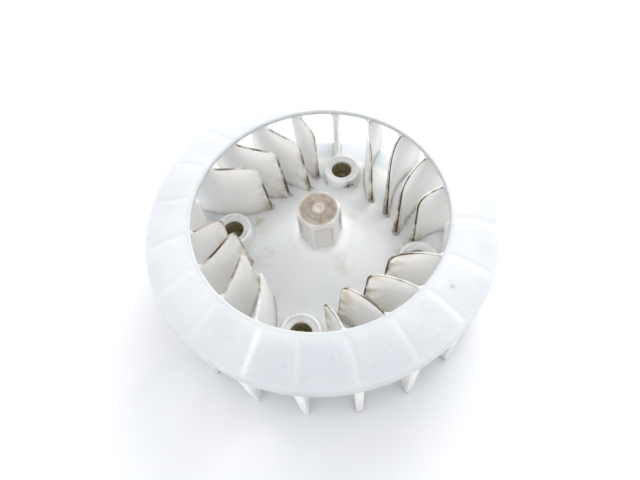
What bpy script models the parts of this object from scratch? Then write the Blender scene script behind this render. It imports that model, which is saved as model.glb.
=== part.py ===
# Radial cooling-fan wheel that bolts onto the flywheel of a small air-cooled engine.
# Metres, +Z up.  Origin at the bottom centre: the plane that the vane feet stand on, on the
# wheel's axis.  The four mounting bosses lie on the +X, +Y, -X and -Y directions.
import bpy
import bmesh
from math import sin, cos, pi, radians, hypot, atan
from mathutils import Vector, Matrix

MM = 0.001

# ---------------------------------------------------------------- driving dimensions (mm, degrees)
GAP = 0.3                # clearance left between neighbouring solids

R_OUT = 84.0             # outer radius of the shroud ring
R_EYE = 60.5             # radius of the inlet eye (inner edge of the shroud ring)
Z_RIM = 50.0             # height of the ring's outer rim above the vane feet
Z_LIP = 56.9             # height of the ring's inner lip
RING_T = 2.6             # wall thickness of the ring
RING_CROWN = 1.0         # how far the cone of the ring bulges up
SKIRT_T = 2.3            # thickness of the short upright skirt round the rim
Z_SKIRT = 44.0           # height of the skirt's lower edge

R_DISC = 76.5            # outer radius of the back disc
DISC_T = 2.5             # wall thickness of the back disc
R_APEX = 12.4            # radius of the flat on top of the dome, under the post
Z_APEX = 34.9            # height of that flat
# radius and height of the dome's upper surface at its stations, from the apex to the edge
DOME = ((R_APEX, Z_APEX), (18.0, 30.9), (25.2, 25.8), (32.0, 21.4), (38.7, 18.4), (45.0, 17.1),
        (52.0, 16.5), (63.0, 15.5), (R_DISC, 13.9))

N_VANES = 20
VANE_T_BASE = 2.8        # thickness of a vane where it stands on the disc in the inlet eye
VANE_T_TIP = 1.25        # thickness of its top edge there
VANE_T_FOOT = 3.2        # thickness of a vane's foot, drafted thicker towards the ring
VANE_T_RIM = 4.3
R_VANE = 83.0            # outer edge of the vanes
SWEEP = 1.08             # tangent of the vane's angle to the radius at its inner edge
SWEEP_POWER = 2.5        # how fast that angle dies away towards the rim
R_SWEEP = 40.3           # radius at which SWEEP holds
VANE_PHASE = 4.0         # angle of the first vane past a boss, at the inlet eye
# the first vane past each boss is short, the second is medium and the next three are long
VANE_KINDS = ("short", "medium", "long", "long", "long")

BOSS_PCD = 100.0         # pitch circle of the four screw bosses
BOSS_R = 10.2
BOSS_BORE_R = 5.6        # hole in the boss's dished top, just above the sleeve
Z_BOSS_TOP = 23.1
Z_SEAT = 8.0             # plane in which the sleeves meet the flywheel
SLEEVE_ID = 11.0
SLEEVE_OD = 13.0
Z_SLEEVE_TOP = 20.6      # the boss's top is moulded over the sleeve's upper end
SLEEVE_FLOOR = 3.0       # thickness of the sleeve's floor under the screw head
SCREW_HOLE_R = 3.3       # clearance for an M6 screw

HEX_AF = 19.0            # across flats of the turning post
HEX_PHASE = 24.5         # angle of one corner
Z_HEX_TOP = 55.9
HEX_COLLAR = 4.8         # height of the solid collar at the top of the post
HEX_PANEL = 1.2          # depth of the panels in its flanks
HEX_PANEL_W = 8.4        # their width, which leaves thin ribs at the corners
PLUG_R = 7.7             # round root of the post in the middle of the disc
CORE_R = 5.0             # moulding core up the inside of the post

TURN_STEPS = 72          # facets round the wheel
BOSS_STEPS = 24

# ---------------------------------------------------------------- clean start
for ob in list(bpy.data.objects):
    bpy.data.objects.remove(ob, do_unlink=True)

scene = bpy.context.scene
parts = bpy.data.collections.new("cooling_fan_wheel")
scene.collection.children.link(parts)
cutters = bpy.data.collections.new("cutters")
scene.collection.children.link(cutters)


def material(name, colour, roughness, metallic=0.0):
    m = bpy.data.materials.new(name)
    m.use_nodes = True
    b = m.node_tree.nodes["Principled BSDF"]
    b.inputs["Base Color"].default_value = (*colour, 1.0)
    b.inputs["Roughness"].default_value = roughness
    b.inputs["Metallic"].default_value = metallic
    return m


def link(ob, coll=parts):
    coll.objects.link(ob)
    return ob


def smooth(ob, angle=35.0):
    ob.data.shade_smooth()
    ob.data.set_sharp_from_angle(angle=radians(angle))


def apply_modifiers(ob):
    """Freeze an object's modifiers into its mesh."""
    deps = bpy.context.evaluated_depsgraph_get()
    me = bpy.data.meshes.new_from_object(ob.evaluated_get(deps))
    ob.modifiers.clear()
    ob.data = me
    return ob


def turned(name, profile, steps, mat, coll=parts):
    """A closed profile in the XZ plane (mm), turned about Z.  It runs down its outer side."""
    me = bpy.data.meshes.new(name)
    bm = bmesh.new()
    vs = [bm.verts.new((r * MM, 0.0, z * MM)) for r, z in profile]
    for a, b in zip(vs, vs[1:] + vs[:1]):
        bm.edges.new((a, b))
    bm.to_mesh(me)
    bm.free()
    ob = link(bpy.data.objects.new(name, me), coll)
    s = ob.modifiers.new("turn", 'SCREW')
    s.axis = 'Z'
    s.angle = 2 * pi
    s.steps = steps
    s.render_steps = steps
    s.use_merge_vertices = True
    s.merge_threshold = 0.00001
    s.use_smooth_shade = False
    bpy.context.view_layer.update()
    apply_modifiers(ob)
    bm = bmesh.new()
    bm.from_mesh(ob.data)
    bmesh.ops.remove_doubles(bm, verts=bm.verts, dist=0.000001)
    bmesh.ops.recalc_face_normals(bm, faces=bm.faces)
    bm.to_mesh(ob.data)
    bm.free()
    if mat:
        ob.data.materials.clear()
        ob.data.materials.append(mat)
    smooth(ob)
    return ob


def make_cutter(ob):
    ob.hide_render = True
    ob.display_type = 'WIRE'
    return ob


def boolean(ob, other, operation):
    m = ob.modifiers.new("cut", 'BOOLEAN')
    m.operation = operation
    m.solver = 'EXACT'
    m.object = other
    bpy.context.view_layer.update()
    apply_modifiers(ob)


def cylinder(name, r, z0, z1, steps, xy=(0.0, 0.0), coll=cutters):
    me = bpy.data.meshes.new(name)
    bm = bmesh.new()
    bmesh.ops.create_cone(bm, cap_ends=True, segments=steps, radius1=r * MM, radius2=r * MM,
                          depth=(z1 - z0) * MM,
                          matrix=Matrix.Translation((xy[0] * MM, xy[1] * MM, (z0 + z1) / 2 * MM)))
    bm.to_mesh(me)
    bm.free()
    ob = link(bpy.data.objects.new(name, me), coll)
    return make_cutter(ob) if coll is cutters else ob


def interp(table, x):
    """Straight-line value of a table of (x, y) stations."""
    if x <= table[0][0]:
        return table[0][1]
    for (x0, y0), (x1, y1) in zip(table, table[1:]):
        if x <= x1:
            return y0 + (y1 - y0) * (x - x0) / (x1 - x0)
    return table[-1][1]


def smoothstep(a, b, x):
    t = min(max((x - a) / (b - a), 0.0), 1.0)
    return t * t * (3 - 2 * t)


# ---------------------------------------------------------------- materials
nylon_ring = material("nylon_ring", (0.80, 0.83, 0.86), 0.42)
nylon_vane = material("nylon_vane", (0.74, 0.73, 0.70), 0.46)
nylon_disc = material("nylon_disc", (0.78, 0.80, 0.81), 0.42)
nylon_boss = material("nylon_boss", (0.80, 0.82, 0.83), 0.38)
nylon_post = material("nylon_post", (0.50, 0.43, 0.39), 0.55)
sleeve_steel = material("sleeve_steel", (0.24, 0.22, 0.17), 0.45, 0.85)


# ---------------------------------------------------------------- shroud ring
R_STEP = R_OUT - 0.8                 # where the cone meets the rounded edge of the skirt
Z_STEP = Z_RIM + 0.3                 # height of the cone there
R_INNER = R_OUT - SKIRT_T            # inner face of the skirt


def ring_top(r):
    """Upper surface of the ring's cone, gently crowned between the eye and the rim."""
    t = (r - R_EYE) / (R_STEP - R_EYE)
    return Z_LIP + (Z_STEP - Z_LIP) * t + RING_CROWN * sin(pi * min(max(t, 0), 1))


def ring_under(r):
    """Lower surface of the ring, from the eye out to the skirt."""
    t = (r - R_EYE) / (R_INNER - R_EYE)
    z0 = Z_LIP - RING_T
    z1 = Z_RIM - 1.8
    return z0 + (z1 - z0) * min(t, 1.0) + RING_CROWN * 0.6 * sin(pi * min(max(t, 0), 1))


ring_profile = [(R_EYE, Z_LIP - 0.5), (R_EYE + 0.5, Z_LIP)]
for i in range(1, 7):
    r = R_EYE + 0.5 + (R_STEP - R_EYE - 0.5) * i / 7
    ring_profile.append((r, ring_top(r)))
ring_profile += [(R_STEP, Z_STEP), (R_OUT - 0.2, Z_RIM - 0.2), (R_OUT, Z_RIM - 0.8),
                 (R_OUT, Z_SKIRT + 0.6), (R_OUT - 0.6, Z_SKIRT), (R_INNER + 0.4, Z_SKIRT),
                 (R_INNER, Z_SKIRT + 0.5)]
for i in range(6, 0, -1):
    r = R_EYE + (R_INNER - R_EYE) * i / 6
    ring_profile.append((r, ring_under(r)))
ring_profile.append((R_EYE, Z_LIP - RING_T))
turned("shroud_ring", ring_profile, TURN_STEPS, nylon_ring)


# ---------------------------------------------------------------- back disc
def dome_top(r):
    return interp(DOME, r)


disc_profile = [(PLUG_R + GAP, Z_APEX)] + list(DOME[:-1])
disc_profile += [(R_DISC - 0.5, dome_top(R_DISC - 0.5)), (R_DISC, dome_top(R_DISC) - 0.5),
                 (R_DISC, dome_top(R_DISC) - DISC_T + 0.3), (R_DISC - 0.3, dome_top(R_DISC) - DISC_T)]
for r, z in reversed(DOME[1:-1]):
    disc_profile.append((r - 0.7, z - DISC_T + 0.1))
disc_profile += [(R_APEX - 1.0, Z_APEX - DISC_T), (PLUG_R + GAP, Z_APEX - DISC_T)]
disc = turned("back_disc", disc_profile, TURN_STEPS, nylon_disc)
for k in range(4):
    a = radians(90 * k)
    hole = cylinder("boss_hole_%d" % (k + 1), BOSS_R + GAP, 5.0, 30.0, BOSS_STEPS,
                    (BOSS_PCD / 2 * cos(a), BOSS_PCD / 2 * sin(a)))
    boolean(disc, hole, 'DIFFERENCE')
smooth(disc)


# ---------------------------------------------------------------- vanes
def sweep_step(r):
    """Tangent of the angle between the vane's plan curve and the radius."""
    return SWEEP * max(0.0, (R_OUT - r) / (R_OUT - R_SWEEP)) ** SWEEP_POWER


def sweep_angle(r, steps=60):
    """Angle of the vane's plan curve at radius r, zero at the inlet eye."""
    r0 = 58.8
    h = (r - r0) / steps
    total = 0.0
    for i in range(steps):
        rm = r0 + h * (i + 0.5)
        total += sweep_step(rm) / rm * h
    return total


def vane_outline(kind):
    """The vane's edge as (radius, height) points, as if the swept vane were unrolled flat."""
    pts = [(R_VANE - 3.6, 0.0), (R_VANE, 0.0), (R_VANE, Z_SKIRT - GAP), (R_INNER - 0.5, Z_SKIRT - GAP)]
    for r in (R_INNER - 0.5, 76.0, 70.0, 65.0, R_EYE - GAP):        # under the ring
        pts.append((r, ring_under(r) - GAP))
    if kind == "short":
        edge = [(59.5, 52.6), (59.1, 50.0)]
        r_base = 61.6
    else:
        if kind == "long":
            edge = [(57.5, 55.2), (53.0, 56.1), (48.5, 56.3)]
            corner, r_base = (40.7, 55.8), 38.7
            start = (45.6, 56.2)
        else:
            edge = [(57.5, 55.1), (54.5, 55.8)]
            corner, r_base = (46.5, 55.0), 47.1
            start = (51.0, 55.8)
        # rounded corner: a quadratic arc into the leading edge
        end = (corner[0] + (r_base - corner[0]) * 0.14, corner[1] - 5.2)
        for i in range(6):
            t = i / 5
            edge.append(tuple((1 - t) ** 2 * s + 2 * t * (1 - t) * c + t * t * e
                              for s, c, e in zip(start, corner, end)))
    pts += edge
    pts.append((r_base, dome_top(r_base) + GAP))
    for r, z in DOME:                                        # along the disc
        if r > r_base + 2.0 and r < R_DISC:
            pts.append((r, z + GAP))
    pts.append((R_DISC + GAP, dome_top(R_DISC) + GAP))
    pts.append((R_DISC + GAP, dome_top(R_DISC) - DISC_T - 0.6))
    return pts


def vane_thickness(r, z):
    """Drafted thinner towards the top in the eye, and thinner towards the foot at the rim."""
    eye = VANE_T_BASE + (VANE_T_TIP - VANE_T_BASE) * (z - 18.0) / (56.0 - 18.0)
    foot = VANE_T_FOOT + (VANE_T_RIM - VANE_T_FOOT) * z / (Z_RIM - 3.0)
    return eye + (foot - eye) * smoothstep(61.0, 76.8, r)


def vane_mesh(kind):
    """A flat plate of the vane's outline, cut into upright strips and bent to the plan curve."""
    cu = bpy.data.curves.new("vane_plate_" + kind, 'CURVE')
    cu.dimensions = '2D'
    cu.fill_mode = 'BOTH'
    cu.extrude = 0.5 * MM
    sp = cu.splines.new('POLY')
    pts = vane_outline(kind)
    sp.points.add(len(pts) - 1)
    for p, (r, z) in zip(sp.points, pts):
        p.co = (r * MM, z * MM, 0.0, 1.0)
    sp.use_cyclic_u = True
    ob = link(bpy.data.objects.new("vane_plate_" + kind, cu), cutters)
    bpy.context.view_layer.update()
    deps = bpy.context.evaluated_depsgraph_get()
    me = bpy.data.meshes.new_from_object(ob.evaluated_get(deps))
    me.name = "vane_" + kind
    bpy.data.objects.remove(ob)
    bm = bmesh.new()
    bm.from_mesh(me)
    bmesh.ops.remove_doubles(bm, verts=bm.verts, dist=0.000002)
    flat = [e for e in bm.edges if len(e.link_faces) == 2
            and e.link_faces[0].normal.dot(e.link_faces[1].normal) > 0.99999]
    bmesh.ops.dissolve_edges(bm, edges=flat, use_verts=False)
    for r in (43.0, 46.0, 49.0, 52.0, 55.5, 59.3, 64.0, 70.0, 76.8, 79.4):
        geom = list(bm.verts) + list(bm.edges) + list(bm.faces)
        bmesh.ops.bisect_plane(bm, geom=geom, dist=0.000002, plane_co=(r * MM, 0, 0),
                               plane_no=(1, 0, 0))
    for v in bm.verts:
        r, z, side = v.co.x / MM, v.co.y / MM, (1.0 if v.co.z > 0 else -1.0)
        a = sweep_angle(r)
        b = a + atan(sweep_step(r))                          # heading of the plan curve
        w = side * vane_thickness(r, z) / 2
        x, y = r * cos(a) - w * sin(b), r * sin(a) + w * cos(b)
        if r < R_DISC and z < dome_top(r) + GAP + 0.05:       # the foot of the vane follows the dome
            z = dome_top(hypot(x, y)) + GAP
        v.co = Vector((x, y, z)) * MM
    bmesh.ops.recalc_face_normals(bm, faces=bm.faces)
    if bm.calc_volume(signed=True) < 0:
        bmesh.ops.reverse_faces(bm, faces=bm.faces)
    bm.to_mesh(me)
    bm.free()
    me.materials.clear()
    me.materials.append(nylon_vane)
    me.shade_smooth()
    me.set_sharp_from_angle(angle=radians(35))
    return me


vane_meshes = {kind: vane_mesh(kind) for kind in ("short", "medium", "long")}
for k in range(N_VANES):
    kind = VANE_KINDS[k % 5]
    ob = link(bpy.data.objects.new("vane_%02d" % (k + 1), vane_meshes[kind]))
    ob.rotation_euler = (0, 0, radians(VANE_PHASE + 360.0 / N_VANES * k))


# ---------------------------------------------------------------- screw bosses and their sleeves
boss_profile = [(BOSS_BORE_R, Z_BOSS_TOP - 1.3), (BOSS_R - 2.1, Z_BOSS_TOP - 0.5),
                (BOSS_R - 1.6, Z_BOSS_TOP - 0.1), (BOSS_R - 0.95, Z_BOSS_TOP),
                (BOSS_R - 0.3, Z_BOSS_TOP - 0.3), (BOSS_R, Z_BOSS_TOP - 1.0), (BOSS_R, Z_SEAT + 0.2),
                (SLEEVE_OD / 2 + GAP, Z_SEAT + 0.2), (SLEEVE_OD / 2 + GAP, Z_SLEEVE_TOP + GAP),
                (BOSS_BORE_R, Z_SLEEVE_TOP + GAP)]
sleeve_profile = [(SLEEVE_ID / 2, Z_SLEEVE_TOP), (SLEEVE_OD / 2, Z_SLEEVE_TOP), (SLEEVE_OD / 2, Z_SEAT),
                  (SCREW_HOLE_R, Z_SEAT), (SCREW_HOLE_R, Z_SEAT + SLEEVE_FLOOR),
                  (SLEEVE_ID / 2, Z_SEAT + SLEEVE_FLOOR)]
boss_master = turned("screw_boss_1", boss_profile, BOSS_STEPS, nylon_boss)
sleeve_master = turned("sleeve_1", sleeve_profile, BOSS_STEPS, sleeve_steel)
for k in range(4):
    a = radians(90 * k)
    at = (BOSS_PCD / 2 * MM * cos(a), BOSS_PCD / 2 * MM * sin(a), 0.0)
    for master, stem in ((boss_master, "screw_boss_"), (sleeve_master, "sleeve_")):
        ob = master if k == 0 else link(bpy.data.objects.new(stem + str(k + 1), master.data))
        ob.location = at
        ob.rotation_euler = (0, 0, a)


# ---------------------------------------------------------------- hexagonal turning post
HEX_RC = HEX_AF / 2 / cos(pi / 6)
Z_HEX_BASE = Z_APEX + GAP
me = bpy.data.meshes.new("hex_drive_post")
bm = bmesh.new()
bmesh.ops.create_cone(bm, cap_ends=True, segments=6, radius1=HEX_RC * MM, radius2=HEX_RC * MM,
                      depth=(Z_HEX_TOP - Z_HEX_BASE) * MM,
                      matrix=Matrix.Translation((0, 0, (Z_HEX_TOP + Z_HEX_BASE) / 2 * MM)) @
                      Matrix.Rotation(radians(HEX_PHASE), 4, 'Z'))
# create_cone puts its first corner on +Y or +X; turn the hexagon so that a corner is at HEX_PHASE
corner = max(bm.verts, key=lambda v: v.co.x * cos(radians(HEX_PHASE)) + v.co.y * sin(radians(HEX_PHASE)))
err = radians(HEX_PHASE) - Vector((1, 0)).angle_signed(corner.co.xy) * -1
bmesh.ops.rotate(bm, verts=bm.verts, cent=(0, 0, 0), matrix=Matrix.Rotation(err, 3, 'Z'))
bm.to_mesh(me)
bm.free()
post = link(bpy.data.objects.new("hex_drive_post", me))
# the corners are chamfered by a cone, as on a bolt head
chamfer = turned("post_chamfer", [(0.8, Z_HEX_TOP + 0.2), (8.8, Z_HEX_TOP + 0.2), (8.8, Z_HEX_TOP),
                                  (12.6, Z_HEX_TOP - 2.1), (12.6, Z_HEX_BASE - 1.0),
                                  (0.8, Z_HEX_BASE - 1.0)], 48, None, cutters)
make_cutter(chamfer)
axis_plug = cylinder("post_axis", 1.0, Z_HEX_BASE - 1.0, Z_HEX_TOP + 0.2, 12)
boolean(chamfer, axis_plug, 'UNION')
boolean(post, chamfer, 'INTERSECT')
# a shallow panel in each flank leaves ribs at the corners and a collar at the top
for k in range(6):
    a = radians(HEX_PHASE + 30 + 60 * k)
    pm = bpy.data.meshes.new("panel_%d" % (k + 1))
    pb = bmesh.new()
    bmesh.ops.create_cube(pb, size=1.0)
    height = Z_HEX_TOP - HEX_COLLAR - (Z_HEX_BASE + 0.8)
    for v in pb.verts:
        v.co = Vector((v.co.x * 2 * HEX_PANEL, v.co.y * HEX_PANEL_W, v.co.z * height)) * MM
    pb.to_mesh(pm)
    pb.free()
    panel = make_cutter(link(bpy.data.objects.new("panel_%d" % (k + 1), pm), cutters))
    panel.location = (HEX_AF / 2 * MM * cos(a), HEX_AF / 2 * MM * sin(a),
                      (Z_HEX_BASE + 0.8 + height / 2) * MM)
    panel.rotation_euler = (0, 0, a)
    boolean(post, panel, 'DIFFERENCE')
plug = cylinder("post_plug", PLUG_R, Z_APEX - DISC_T, Z_HEX_BASE + 2.0, 32)
boolean(post, plug, 'UNION')
core = cylinder("post_core", CORE_R, Z_APEX - DISC_T - 1.0, Z_HEX_TOP - 4.0, 24)
boolean(post, core, 'DIFFERENCE')
# a small moulding nub stands in the middle of the post's top
nub = cylinder("post_nub", 3.0, Z_HEX_TOP - 2.0, Z_HEX_TOP + 0.5, 24)
boolean(post, nub, 'UNION')
post.data.materials.clear()
post.data.materials.append(nylon_post)
smooth(post, 25)
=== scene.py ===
# Looks of the cooling-fan wheel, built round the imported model.
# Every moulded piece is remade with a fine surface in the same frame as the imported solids:
# metres, +Z up, the origin in the plane of the vane feet, the four bosses on +X, +Y, -X and -Y.
import bpy
import bmesh
import numpy as np
from math import sin, cos, tan, radians, pi, sqrt, hypot, atan, exp
from mathutils import Vector, Matrix


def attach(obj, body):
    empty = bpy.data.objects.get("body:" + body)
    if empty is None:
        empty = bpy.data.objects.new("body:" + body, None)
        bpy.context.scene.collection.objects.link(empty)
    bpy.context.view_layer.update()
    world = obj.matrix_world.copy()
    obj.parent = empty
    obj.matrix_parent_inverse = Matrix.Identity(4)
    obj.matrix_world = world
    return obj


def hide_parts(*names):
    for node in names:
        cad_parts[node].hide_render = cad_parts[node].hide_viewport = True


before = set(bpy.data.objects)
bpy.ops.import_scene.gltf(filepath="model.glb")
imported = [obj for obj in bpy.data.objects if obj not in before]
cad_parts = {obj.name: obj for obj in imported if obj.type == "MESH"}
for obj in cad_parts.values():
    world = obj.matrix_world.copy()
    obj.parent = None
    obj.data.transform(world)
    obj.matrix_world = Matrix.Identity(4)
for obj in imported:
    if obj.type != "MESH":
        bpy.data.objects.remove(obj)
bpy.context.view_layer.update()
MM = 0.001
scene = bpy.context.scene

# ------------------------------------------------------------------ dimensions (mm, degrees)
R_OUT, R_EYE, Z_RIM, Z_LIP, RING_T, RING_CROWN = 84.0, 60.5, 50.0, 56.9, 2.6, 1.0
R_STEP, Z_STEP, R_INNER, Z_SKIRT = 83.2, 50.25, 81.7, 44.0
R_DISC, DISC_T = 76.5, 2.5
DOME = ((0.0, 34.9), (6.0, 34.9), (12.4, 34.6), (18.0, 30.9), (25.2, 25.8), (32.0, 21.4),
        (38.7, 18.4), (45.0, 17.1), (52.0, 16.5), (63.0, 15.5), (76.5, 13.9), (80.0, 13.5))
R_VANE, SWEEP, SWEEP_POWER, R_SWEEP, VANE_PHASE = 83.0, 1.08, 2.5, 40.3, 4.0
VANE_KINDS = ("short", "medium", "long", "long", "long")
BOSS_PCD, BOSS_R, BOSS_BORE_R, Z_BOSS_TOP, Z_SEAT = 100.0, 10.2, 5.6, 23.1, 8.0
SLEEVE_ID, SLEEVE_OD, Z_SLEEVE_TOP, SLEEVE_FLOOR, SCREW_HOLE_R = 11.0, 13.0, 20.6, 3.0, 3.3
HEX_AF, HEX_PHASE, Z_HEX_TOP, HEX_COLLAR, HEX_PANEL, HEX_PANEL_W = 19.0, 24.5, 55.9, 4.8, 1.2, 8.4

# ------------------------------------------------------------------ camera
AZ = 19.0                       # the wheel's own axes are turned this far from the camera's
TURN = Matrix.Rotation(radians(AZ), 3, 'Z')


def towards(x, y, z):
    """A direction or place given to the camera's right, away from it and up."""
    return TURN @ Vector((x, y, z))


def camera():
    el, roll = 1.0457621, -0.1317298
    dist, tx, ty, f = 2.8479747, -0.0036931, 0.1418704, 500.0
    fw = Vector((0, cos(el), -sin(el)))
    up = Vector((0, sin(el), cos(el)))
    rt = Vector((1, 0, 0))
    rt2 = cos(roll) * rt + sin(roll) * up
    up2 = -sin(roll) * rt + cos(roll) * up
    loc = (-tx * rt2 - ty * up2 - dist * fw) * R_OUT * MM + Vector((0, 0, Z_RIM * MM))
    m = Matrix((rt2, up2, -fw)).transposed()
    m = (TURN @ m).to_4x4()
    m.translation = TURN @ loc
    cd = bpy.data.cameras.new("camera")
    cd.sensor_width = 36.0
    cd.lens = 36.0 * f / 640.0
    cd.clip_start = 0.01
    cd.clip_end = 20
    ob = bpy.data.objects.new("camera", cd)
    scene.collection.objects.link(ob)
    ob.matrix_world = m
    scene.camera = ob
    return ob


cam = camera()


# ------------------------------------------------------------------ shape functions
def pchip(table):
    """Smooth monotone curve through a table of (x, y) stations."""
    x = np.array([p[0] for p in table], float)
    y = np.array([p[1] for p in table], float)
    h = np.diff(x)
    d = np.diff(y) / h
    m = np.zeros(len(x))
    for i in range(1, len(x) - 1):
        if d[i - 1] * d[i] > 0:
            w1, w2 = 2 * h[i] + h[i - 1], h[i] + 2 * h[i - 1]
            m[i] = (w1 + w2) / (w1 / d[i - 1] + w2 / d[i])
    m[-1] = d[-1]

    def f(v):
        v = np.clip(np.asarray(v, float), x[0], x[-1])
        i = np.clip(np.searchsorted(x, v, side='right') - 1, 0, len(x) - 2)
        t = (v - x[i]) / h[i]
        return ((1 + 2 * t) * (1 - t) ** 2 * y[i] + t * (1 - t) ** 2 * h[i] * m[i]
                + t * t * (3 - 2 * t) * y[i + 1] + t * t * (t - 1) * h[i] * m[i + 1])
    return f


dome_top = pchip(DOME)


def smoothstep(a, b, x):
    t = np.clip((np.asarray(x, float) - a) / (b - a), 0.0, 1.0)
    return t * t * (3 - 2 * t)


def ring_top(r):
    t = np.clip((np.asarray(r, float) - R_EYE) / (R_STEP - R_EYE), 0, 1)
    return Z_LIP + (Z_STEP - Z_LIP) * t + RING_CROWN * np.sin(pi * t)


def ring_under(r):
    t = np.clip((np.asarray(r, float) - R_EYE) / (R_INNER - R_EYE), 0, 1)
    z0, z1 = Z_LIP - RING_T, Z_RIM - 1.8
    return z0 + (z1 - z0) * t + RING_CROWN * 0.6 * np.sin(pi * t)


def sweep_step(r):
    return SWEEP * np.maximum(0.0, (R_OUT - np.asarray(r, float)) / (R_OUT - R_SWEEP)) ** SWEEP_POWER


_rr = np.linspace(30.0, 90.0, 4001)
_ss = np.concatenate([[0], np.cumsum((sweep_step(_rr[1:]) + sweep_step(_rr[:-1])) / (_rr[1:] + _rr[:-1])
                                     * np.diff(_rr))])
_ss -= np.interp(58.8, _rr, _ss)


def sweep_angle(r):
    return np.interp(r, _rr, _ss)


def arc(cx, cz, rad, a0, a1, n):
    """Points of an arc in (r, z), angles in degrees, both ends included."""
    return [(cx + rad * cos(radians(a0 + (a1 - a0) * i / n)), cz + rad * sin(radians(a0 + (a1 - a0) * i / n)))
            for i in range(n + 1)]


def fine_noise(x, y, z, seed):
    """Smooth value noise on a lattice, the same on every run."""
    rng = np.random.default_rng(seed)
    table = rng.random(4096)
    xi, yi, zi = np.floor(x).astype(int), np.floor(y).astype(int), np.floor(z).astype(int)
    u, v, w = x - xi, y - yi, z - zi
    u, v, w = u * u * (3 - 2 * u), v * v * (3 - 2 * v), w * w * (3 - 2 * w)

    def h(a, b, c):
        return table[(a * 73856093 ^ b * 19349663 ^ c * 83492791) & 4095]
    out = 0
    for dx in (0, 1):
        for dy in (0, 1):
            for dz in (0, 1):
                out = out + (h(xi + dx, yi + dy, zi + dz) * (u if dx else 1 - u)
                             * (v if dy else 1 - v) * (w if dz else 1 - w))
    return out


# ------------------------------------------------------------------ materials
def nodes_of(m):
    m.use_nodes = True
    nt = m.node_tree
    return nt, nt.nodes["Principled BSDF"]


def maths(nt, op, a, b=None, clamp=False):
    n = nt.nodes.new("ShaderNodeMath")
    n.operation = op
    n.use_clamp = clamp
    for sock, v in zip(n.inputs, (a, b)):
        if v is None:
            continue
        if isinstance(v, (int, float)):
            sock.default_value = v
        else:
            nt.links.new(v, sock)
    return n.outputs[0]


def mix(nt, fac, a, b):
    n = nt.nodes.new("ShaderNodeMix")
    n.data_type = 'RGBA'
    for sock, v in ((n.inputs[0], fac), (n.inputs[6], a), (n.inputs[7], b)):
        if isinstance(v, tuple):
            sock.default_value = (*v, 1.0)
        elif isinstance(v, (int, float)):
            sock.default_value = v
        else:
            nt.links.new(v, sock)
    return n.outputs[2]


def noise(nt, vec, scale, detail=3.0, rough=0.5):
    n = nt.nodes.new("ShaderNodeTexNoise")
    n.inputs["Scale"].default_value = scale
    n.inputs["Detail"].default_value = detail
    n.inputs["Roughness"].default_value = rough
    nt.links.new(vec, n.inputs["Vector"])
    return n.outputs[0]


def band(nt, v, lo, hi):
    n = nt.nodes.new("ShaderNodeMapRange")
    n.interpolation_type = 'SMOOTHSTEP'
    n.inputs["From Min"].default_value = lo
    n.inputs["From Max"].default_value = hi
    nt.links.new(v, n.inputs["Value"])
    return n.outputs[0]


def attribute(nt, name):
    n = nt.nodes.new("ShaderNodeAttribute")
    n.attribute_name = name
    return n.outputs["Fac"]


def position(nt):
    g = nt.nodes.new("ShaderNodeNewGeometry")
    s = nt.nodes.new("ShaderNodeVectorMath")
    s.operation = 'SCALE'
    s.inputs["Scale"].default_value = 1000.0       # millimetres
    nt.links.new(g.outputs["Position"], s.inputs[0])
    return s.outputs[0]


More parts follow.
